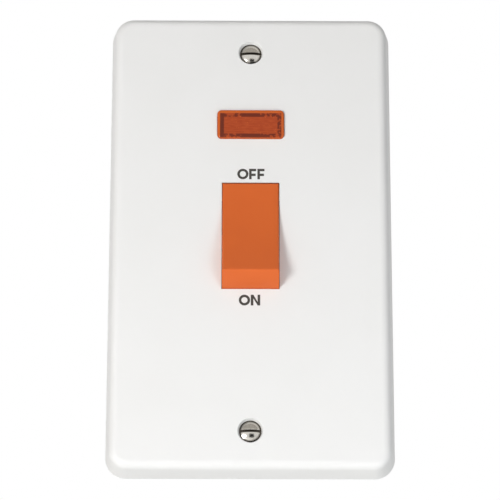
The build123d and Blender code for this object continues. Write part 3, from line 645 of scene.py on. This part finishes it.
# %% Assign the finishes
finishes = {
    "plate": white_urea(),
    "rocker": orange_abs(),
    "lens": red_acrylic(),
    "plate_screw": nickel_plate(),
    "glass": lamp_glass(),
    "resistor": resistor_lacquer(),
    "base": dull_plastic("dark_phenolic", "#1B1A19", "#2B2927", 0.48, 0.5),
    "holder": dull_plastic("holder_nylon", "#D9D7D0", "#E2E0DA", 0.50, 0.8),
    "plunger": dull_plastic("plunger_nylon", "#DAD5C6", "#E3DFD2", 0.45, 0.6),
    "lead_live": dull_plastic("brown_pvc", "#5E2F1A", "#6B3820", 0.40, 0.7),
    "lead_neutral": dull_plastic("blue_pvc", "#22498C", "#2B5499", 0.40, 0.7),
    "spring": worked_metal("spring_steel", "#8E8E90", "#A6A6A8", 0.28, 0.15),
    "copper": worked_metal("half_hard_copper", "#C67E5A", "#D69474", 0.30, 0.25),
    "silver": worked_metal("contact_silver", "#CFCCC6", "#DDDBD6", 0.25, 0.25),
    "brass": worked_metal("sawn_brass", "#C39F55", "#D6B672", 0.32, 0.25),
    "clamp_screw": worked_metal("turned_brass", "#BFA05E", "#D2B67C", 0.28, 0.20),
    "steel_screw": worked_metal("zinc_plate", "#A9ABAD", "#BFC1C3", 0.35, 0.25),
    "electrode": worked_metal("nickel_wire", "#9E9C98", "#B3B1AD", 0.30, 0.20),
}
for entry in frame["record"]["subparts"]:
    node = nodes[entry["node"]]
    node.data.materials.clear()
    node.data.materials.append(finishes[entry["material_slot"]])

# %% [markdown]
# ## A fixing screw with a real thread
# The plate's screws are M3.5, with a thread pitch of 0.6 mm, and from behind their threads show.
# The head starts as a disc: insets that step forward raise its dome, and its open edge is
# extruded back for the rim, the countersink and the neck. A box cuts the driving slot. The
# head's radius, its place and the tip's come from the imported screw. The rim is a third of a
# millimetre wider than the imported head, for the dark ring round it in the photograph.

# %% Screw sizes
SCREW_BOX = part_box("plate_screw_top")
SCREW_Z = (SCREW_BOX[0][2] + SCREW_BOX[1][2]) / 2
HEAD_R = (SCREW_BOX[1][0] - SCREW_BOX[0][0]) / 2
TIP_Y = SCREW_BOX[1][1]
DOME_H = 0.73 * MM
RIM_T = 0.15 * MM
RIM_R = 3.32 * MM
NECK_R = 1.45 * MM
NECK_END_Y = -0.5 * MM
SLOT_W = 0.8 * MM
SLOT_DEPTH = 0.78 * MM
CUTTER_LENGTH = 8.0 * MM
CUTTER_HEIGHT = 4.0 * MM
SIDES = 64
DOME_STEPS = 8
SCREW_SHARP_EDGE = math.radians(25)
print("screw head is", round(2 * HEAD_R / MM, 2), "mm across")
print("screws are", round(2 * SCREW_Z / MM, 1), "mm apart")

# %% Screw head: dome, rim, countersink and neck
bpy.ops.object.select_all(action="DESELECT")
bpy.ops.mesh.primitive_circle_add(
    vertices=SIDES, radius=HEAD_R, fill_type="NGON",
    location=(0, HEAD_TOP_Y + DOME_H, SCREW_Z), rotation=(math.pi / 2, 0, 0),
)
screw = bpy.context.object
screw.name = "plate_screw_top_threaded"
bpy.ops.object.transform_apply(location=True, rotation=True, scale=True)
bpy.ops.object.mode_set(mode="EDIT")
bpy.ops.mesh.select_all(action="SELECT")
dome_r = (HEAD_R**2 + DOME_H**2) / (2 * DOME_H)
radius, height = HEAD_R, 0.0
for step in range(1, DOME_STEPS):
    next_radius = HEAD_R * (1 - step / DOME_STEPS)
    next_height = DOME_H - dome_r + math.sqrt(dome_r**2 - next_radius**2)
    bpy.ops.mesh.inset(thickness=radius - next_radius)
    bpy.ops.transform.translate(value=(0, height - next_height, 0))
    radius, height = next_radius, next_height
bpy.ops.mesh.select_mode(type="EDGE")
bpy.ops.mesh.select_all(action="DESELECT")
bpy.ops.mesh.select_non_manifold(extend=False)
under_y = HEAD_TOP_Y + DOME_H + RIM_T
countersink = HEAD_R - NECK_R
axis_point = (0, under_y + countersink, SCREW_Z)
bpy.ops.mesh.extrude_edges_move(TRANSFORM_OT_translate={"value": (0, RIM_T / 2, 0)})
bpy.ops.transform.resize(value=(RIM_R / HEAD_R, 1, RIM_R / HEAD_R), center_override=axis_point)
bpy.ops.mesh.extrude_edges_move(TRANSFORM_OT_translate={"value": (0, RIM_T / 2, 0)})
bpy.ops.mesh.extrude_edges_move(TRANSFORM_OT_translate={"value": (0, 0, 0)})
bpy.ops.transform.resize(value=(HEAD_R / RIM_R, 1, HEAD_R / RIM_R), center_override=axis_point)
bpy.ops.mesh.extrude_edges_move(TRANSFORM_OT_translate={"value": (0, countersink, 0)})
bpy.ops.transform.resize(value=(NECK_R / HEAD_R, 1, NECK_R / HEAD_R), center_override=axis_point)
bpy.ops.mesh.extrude_edges_move(TRANSFORM_OT_translate={"value": (0, NECK_END_Y - axis_point[1], 0)})
bpy.ops.mesh.edge_face_add()
bpy.ops.mesh.select_all(action="SELECT")
bpy.ops.mesh.normals_make_consistent(inside=False)
bpy.ops.object.mode_set(mode="OBJECT")
print("head has", len(screw.data.polygons), "faces")

# %% Screw head: the driving slot
bpy.ops.mesh.primitive_cube_add(
    size=1.0, location=(0, HEAD_TOP_Y + SLOT_DEPTH - CUTTER_HEIGHT / 2, SCREW_Z),
    scale=(CUTTER_LENGTH, CUTTER_HEIGHT, SLOT_W),
)
cutter = bpy.context.object
bpy.ops.object.select_all(action="DESELECT")
screw.select_set(True)
bpy.context.view_layer.objects.active = screw
slot_cut = screw.modifiers.new("slot", "BOOLEAN")
slot_cut.operation = "DIFFERENCE"
slot_cut.solver = "EXACT"
slot_cut.object = cutter
bpy.ops.object.modifier_apply(modifier=slot_cut.name)
bpy.data.objects.remove(cutter)
print("slotted head has", len(screw.data.polygons), "faces")

# %% [markdown]
# ## The thread
# A thread is one tooth of its profile, turned round the axis while it climbs. By hand: keep one
# vertex of a plane, extrude it out to the crest and back to the next root, and give the two
# edges a Screw modifier whose climb per turn is the pitch. The rod is made too long and both
# ends are cut and filled. The cuts aren't perfect: one triangle stays open at the hidden end, and
# a few vertices stay up to 0.1 mm past the tip's plane. For a lead, the end is drawn in twice:
# each length from the tip has the share of its radius that it keeps.

# %% Thread
PITCH = 0.6 * MM
CREST_R = 1.75 * MM
ROOT_R = 1.38 * MM
NECK_OVERLAP = 0.3 * MM
THREAD_START_Y = NECK_END_Y - NECK_OVERLAP
SPARE_TURNS = 3
TURNS = math.ceil((TIP_Y - THREAD_START_Y) / PITCH) + SPARE_TURNS
STEPS_PER_TURN = 24

bpy.ops.object.select_all(action="DESELECT")
bpy.ops.mesh.primitive_plane_add(size=MM, location=(0, 0, 0))
rod = bpy.context.object
bpy.ops.object.mode_set(mode="EDIT")
bpy.ops.mesh.select_mode(type="VERT")
bpy.ops.mesh.select_all(action="SELECT")
bpy.ops.mesh.merge(type="CENTER")
bpy.ops.transform.translate(value=(ROOT_R, THREAD_START_Y - SPARE_TURNS / 2 * PITCH, 0))
for outward in (CREST_R - ROOT_R, ROOT_R - CREST_R):
    bpy.ops.mesh.extrude_vertices_move(TRANSFORM_OT_translate={"value": (outward, PITCH / 2, 0)})
bpy.ops.object.mode_set(mode="OBJECT")
climb = rod.modifiers.new("climb", "SCREW")
climb.axis = "Y"
climb.screw_offset = PITCH
climb.iterations = TURNS
climb.steps = STEPS_PER_TURN
climb.render_steps = STEPS_PER_TURN
bpy.ops.object.modifier_apply(modifier=climb.name)
print("thread has", TURNS, "turns and", len(rod.data.polygons), "faces")

# %% Thread: closed ends, lead and place
LEADS = {0.9 * MM: 0.88, 0.4 * MM: 0.85}

bpy.ops.object.mode_set(mode="EDIT")
bpy.ops.mesh.select_all(action="SELECT")
bpy.ops.mesh.remove_doubles(threshold=1e-6)
for cut_y, keep in ((THREAD_START_Y, -1), (TIP_Y, 1)):
    bpy.ops.mesh.select_all(action="SELECT")
    bpy.ops.mesh.bisect(plane_co=(0, cut_y, 0), plane_no=(0, keep, 0), use_fill=True, clear_outer=True)
bpy.ops.mesh.select_all(action="SELECT")
bpy.ops.mesh.normals_make_consistent(inside=False)
bpy.ops.mesh.select_all(action="DESELECT")
bpy.ops.object.mode_set(mode="OBJECT")
for lead, drawn_in in LEADS.items():
    for vertex in rod.data.vertices:
        vertex.select = vertex.co.y > TIP_Y - lead
    bpy.ops.object.mode_set(mode="EDIT")
    bpy.ops.transform.resize(value=(drawn_in, 1, drawn_in), center_override=(0, TIP_Y, 0))
    bpy.ops.mesh.select_all(action="DESELECT")
    bpy.ops.object.mode_set(mode="OBJECT")
bpy.ops.object.mode_set(mode="EDIT")
bpy.ops.mesh.select_all(action="SELECT")
bpy.ops.transform.translate(value=(0, 0, SCREW_Z))
bpy.ops.object.mode_set(mode="OBJECT")
screw.select_set(True)
bpy.context.view_layer.objects.active = screw
bpy.ops.object.join()
bpy.ops.object.shade_smooth_by_angle(angle=SCREW_SHARP_EDGE)
print("whole screw has", len(screw.data.polygons), "faces")

# %% The second screw
bpy.ops.object.duplicate()
lower_screw = bpy.context.object
lower_screw.name = "plate_screw_bottom_threaded"
bpy.ops.object.mode_set(mode="EDIT")
bpy.ops.mesh.select_all(action="SELECT")
bpy.ops.transform.translate(value=(0, 0, -2 * SCREW_Z))
bpy.ops.object.mode_set(mode="OBJECT")
for piece, stands_for in ((screw, "plate_screw_top"), (lower_screw, "plate_screw_bottom")):
    piece.data.materials.clear()
    piece.data.materials.append(finishes["plate_screw"])
    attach(piece, "plate_and_base")
    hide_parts(stands_for)
print("screws placed at", round(SCREW_Z / MM, 1), "and", round(-SCREW_Z / MM, 1), "mm")

# %% [markdown]
# ## Plunger springs
# Each plunger is pushed back against a coil spring, and the two springs are modelled anew. The
# coil is made once, and each copy is turned and placed on its plunger's own axis.

# %% Coil
COIL_R = 1.1 * MM
WIRE_R = 0.2 * MM
POCKET_LENGTH = 3.6 * MM
COIL_TURNS = 4.5
COIL_GAP = 0.05 * MM
COIL_STEPS = 108
WIRE_SIDES = 14
COIL_SHARP_EDGE = math.radians(40)
coil_length = POCKET_LENGTH - 2 * (WIRE_R + COIL_GAP)

bpy.ops.object.select_all(action="DESELECT")
bpy.ops.mesh.primitive_circle_add(
    vertices=WIRE_SIDES, radius=WIRE_R, location=(COIL_R, WIRE_R + COIL_GAP, 0),
)
coil = bpy.context.object
bpy.ops.object.transform_apply(location=True, rotation=True, scale=True)
wind = coil.modifiers.new("wind", "SCREW")
wind.axis = "Y"
wind.angle = COIL_TURNS * 2 * math.pi
wind.screw_offset = coil_length
wind.steps = COIL_STEPS
wind.render_steps = COIL_STEPS
bpy.ops.object.modifier_apply(modifier=wind.name)
bpy.ops.object.mode_set(mode="EDIT")
bpy.ops.mesh.select_all(action="SELECT")
bpy.ops.mesh.remove_doubles(threshold=1e-7)
bpy.ops.mesh.fill_holes(sides=0)
bpy.ops.mesh.select_all(action="SELECT")
bpy.ops.mesh.normals_make_consistent(inside=False)
bpy.ops.object.mode_set(mode="OBJECT")
bpy.ops.object.shade_smooth_by_angle(angle=COIL_SHARP_EDGE)
print("coil has", len(coil.data.polygons), "faces")

# %% A spring for each plunger
SLIDES = [joint for joint in frame["record"]["behaviour"]["joints"] if joint["type"] == "slide"]
for slide in SLIDES:
    deforming = slide["deforming_nodes"][0]
    axis = Vector(slide["axis"])
    bpy.ops.object.select_all(action="DESELECT")
    coil.select_set(True)
    bpy.context.view_layer.objects.active = coil
    bpy.ops.object.duplicate()
    spring = bpy.context.object
    spring.name = deforming["node"] + "_coil"
    spring.location = deforming["fixed_end_m"]
    spring.rotation_euler = (-math.atan2(axis.z, -axis.y), 0, 0)
    bpy.ops.object.transform_apply(location=True, rotation=True, scale=True)
    spring.data.materials.clear()
    spring.data.materials.append(finishes["spring"])
    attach(spring, slide["parent"])
    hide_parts(deforming["node"])
    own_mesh(spring)
bpy.data.objects.remove(coil)

# %% [markdown]
# ## Pad-printed words
# OFF and ON are printed on the plate in a bold round face, in a dark ink that sits a few
# hundredths of a millimetre proud. They could be a text object, but the letters are simple
# enough to draw: a disc whose middle is inset and deleted for the O, and bars for the strokes.
# Each word is one mesh, drawn flat on the plate in edit mode and then extruded to its thickness.
# A word's values are its left edge, the height of its middle and the gap after each letter.

# %% Ink and lettering sizes
FACE_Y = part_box("front_plate")[0][1]
INK = 0.03 * MM
CAP = 3.38 * MM
STROKE = 0.76 * MM
F_WIDTH = 2.15 * MM
N_WIDTH = 2.8 * MM
ARM_RISE = 0.12 * MM
ARM_SHORTER = 0.15 * MM
SLANT_HEIGHT = 1.5 * STROKE


def printing_ink():
    """Two-part pad printing ink: matt, nearly black, a touch warm, with a faint screen grain."""
    material, tree, shader, place = new_material("printing_ink", "#3E3A35", 0.55, IOR=1.5)
    dots = add_node(tree, "ShaderNodeTexNoise", {"Vector": place, "Scale": grain_scale(0.2), "Detail": 2.0})
    tone = add_node(tree, "ShaderNodeMix", {
        "Factor": dots.outputs["Fac"], 6: linear("#37332E"), 7: linear("#433E39"),
    }, data_type="RGBA")
    tree.links.new(tone.outputs[2], shader.inputs["Base Color"])
    return material


# %% Letters
FLAT = (math.pi / 2, 0, 0)


def draw_bar(x0, x1, z0, z1):
    """An upright bar of ink between two corners; it is left selected."""
    middle = ((x0 + x1) / 2, FACE_Y, (z0 + z1) / 2)
    bpy.ops.mesh.primitive_plane_add(size=x1 - x0, location=middle, rotation=FLAT)
    bpy.ops.transform.resize(value=(1, 1, (z1 - z0) / (x1 - x0)), center_override=middle)


def draw_o(x, z):
    """A round ring: a disc whose middle is inset and deleted."""
    bpy.ops.mesh.primitive_circle_add(
        vertices=SIDES, radius=CAP / 2, fill_type="NGON",
        location=(x + CAP / 2, FACE_Y, z), rotation=FLAT,
    )
    bpy.ops.mesh.inset(thickness=STROKE)
    bpy.ops.mesh.delete(type="FACE")
    return CAP


def draw_f(x, z):
    """A stem and two arms, the middle one a little shorter."""
    low, high = z - CAP / 2, z + CAP / 2
    arm_top = z + ARM_RISE
    draw_bar(x, x + STROKE, low, high)
    draw_bar(x + STROKE, x + F_WIDTH, high - STROKE, high)
    draw_bar(x + STROKE, x + F_WIDTH - ARM_SHORTER, arm_top - STROKE, arm_top)
    return F_WIDTH


def draw_n(x, z):
    """A bar whose right edge is slid down to make the slant, and a stem at each side of it."""
    low, high = z - CAP / 2, z + CAP / 2
    draw_bar(x + STROKE, x + N_WIDTH - STROKE, high - SLANT_HEIGHT, high)
    bpy.ops.mesh.select_mode(type="VERT")
    bpy.ops.mesh.select_all(action="DESELECT")
    bpy.ops.object.mode_set(mode="OBJECT")
    for vertex in bpy.context.object.data.vertices:
        vertex.select = vertex.co.x > x + N_WIDTH / 2
    bpy.ops.object.mode_set(mode="EDIT")
    bpy.ops.transform.translate(value=(0, 0, SLANT_HEIGHT - CAP))
    bpy.ops.mesh.select_mode(type="FACE")
    draw_bar(x, x + STROKE, low, high)
    draw_bar(x + N_WIDTH - STROKE, x + N_WIDTH, low, high)
    return N_WIDTH


# %% Words
DRAW = {"O": draw_o, "F": draw_f, "N": draw_n}
WORDS = {
    "OFF": (-4.05 * MM, 20.30 * MM, (0.20 * MM, 0.38 * MM, 0.0)),
    "ON": (-3.50 * MM, -20.00 * MM, (0.22 * MM, 0.0)),
}
ink = printing_ink()
for word, (x, z, gaps) in WORDS.items():
    bpy.ops.object.select_all(action="DESELECT")
    bpy.ops.mesh.primitive_plane_add(size=STROKE, location=(0, 0, 0))
    label = bpy.context.object
    label.name = "label_" + word.lower()
    bpy.ops.object.mode_set(mode="EDIT")
    bpy.ops.mesh.select_mode(type="VERT")
    bpy.ops.mesh.select_all(action="SELECT")
    bpy.ops.mesh.delete(type="VERT")
    for letter, gap in zip(word, gaps):
        bpy.ops.mesh.select_mode(type="FACE")
        width = DRAW[letter](x, z)
        x += width + gap
    bpy.ops.mesh.select_all(action="SELECT")
    bpy.ops.mesh.normals_make_consistent(inside=False)
    bpy.ops.mesh.extrude_region_move(TRANSFORM_OT_translate={"value": (0, -INK, 0)})
    bpy.ops.mesh.select_all(action="SELECT")
    bpy.ops.mesh.normals_make_consistent(inside=False)
    bpy.ops.object.mode_set(mode="OBJECT")
    label.data.materials.append(ink)
    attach(label, "plate_and_base")
    print(word, "ends at", round(x / MM, 2), "mm")

# %% [markdown]
# ## The stage's own finishes
# The floor is pale matt paper. The lamps hardly reach it, so to cameras, mirrors and glass it
# adds a part of white of its own, as the world does, and it still takes the object's shadow.
# The side cards are black flock, and the top card is a grey one that gives off its own even
# tone, so that it looks the same wherever a dome mirrors it.

# %% Floor and cards
FLOOR_GLOW = 0.55


def floor_paper():
    material, tree, shader, place = new_material("floor_paper", "#F0F0EE", 0.85, Emission_Color=WHITE)
    pulp = add_node(tree, "ShaderNodeTexNoise", {"Vector": place, "Scale": grain_scale(3.0)})
    bump = add_node(tree, "ShaderNodeBump", {
        "Height": pulp.outputs["Fac"], "Strength": 0.05, "Distance": 0.1 * MM,
    })
    tree.links.new(bump.outputs["Normal"], shader.inputs["Normal"])
    glow = add_node(tree, "ShaderNodeMath", {0: seeing_rays(tree), 1: FLOOR_GLOW}, operation="MULTIPLY")
    tree.links.new(glow.outputs[0], shader.inputs["Emission Strength"])
    return material


black_card = new_material("black_card", "#161616", 0.9)[0]
grey_card = new_material(
    "grey_card", "#161616", 0.9, Emission_Color=linear("#BCB9B4"), Emission_Strength=1.0,
)[0]
floor.data.materials.append(floor_paper())
for name, card in cards.items():
    card.data.materials.append(grey_card if name == "card_top" else black_card)
print("stage finished")
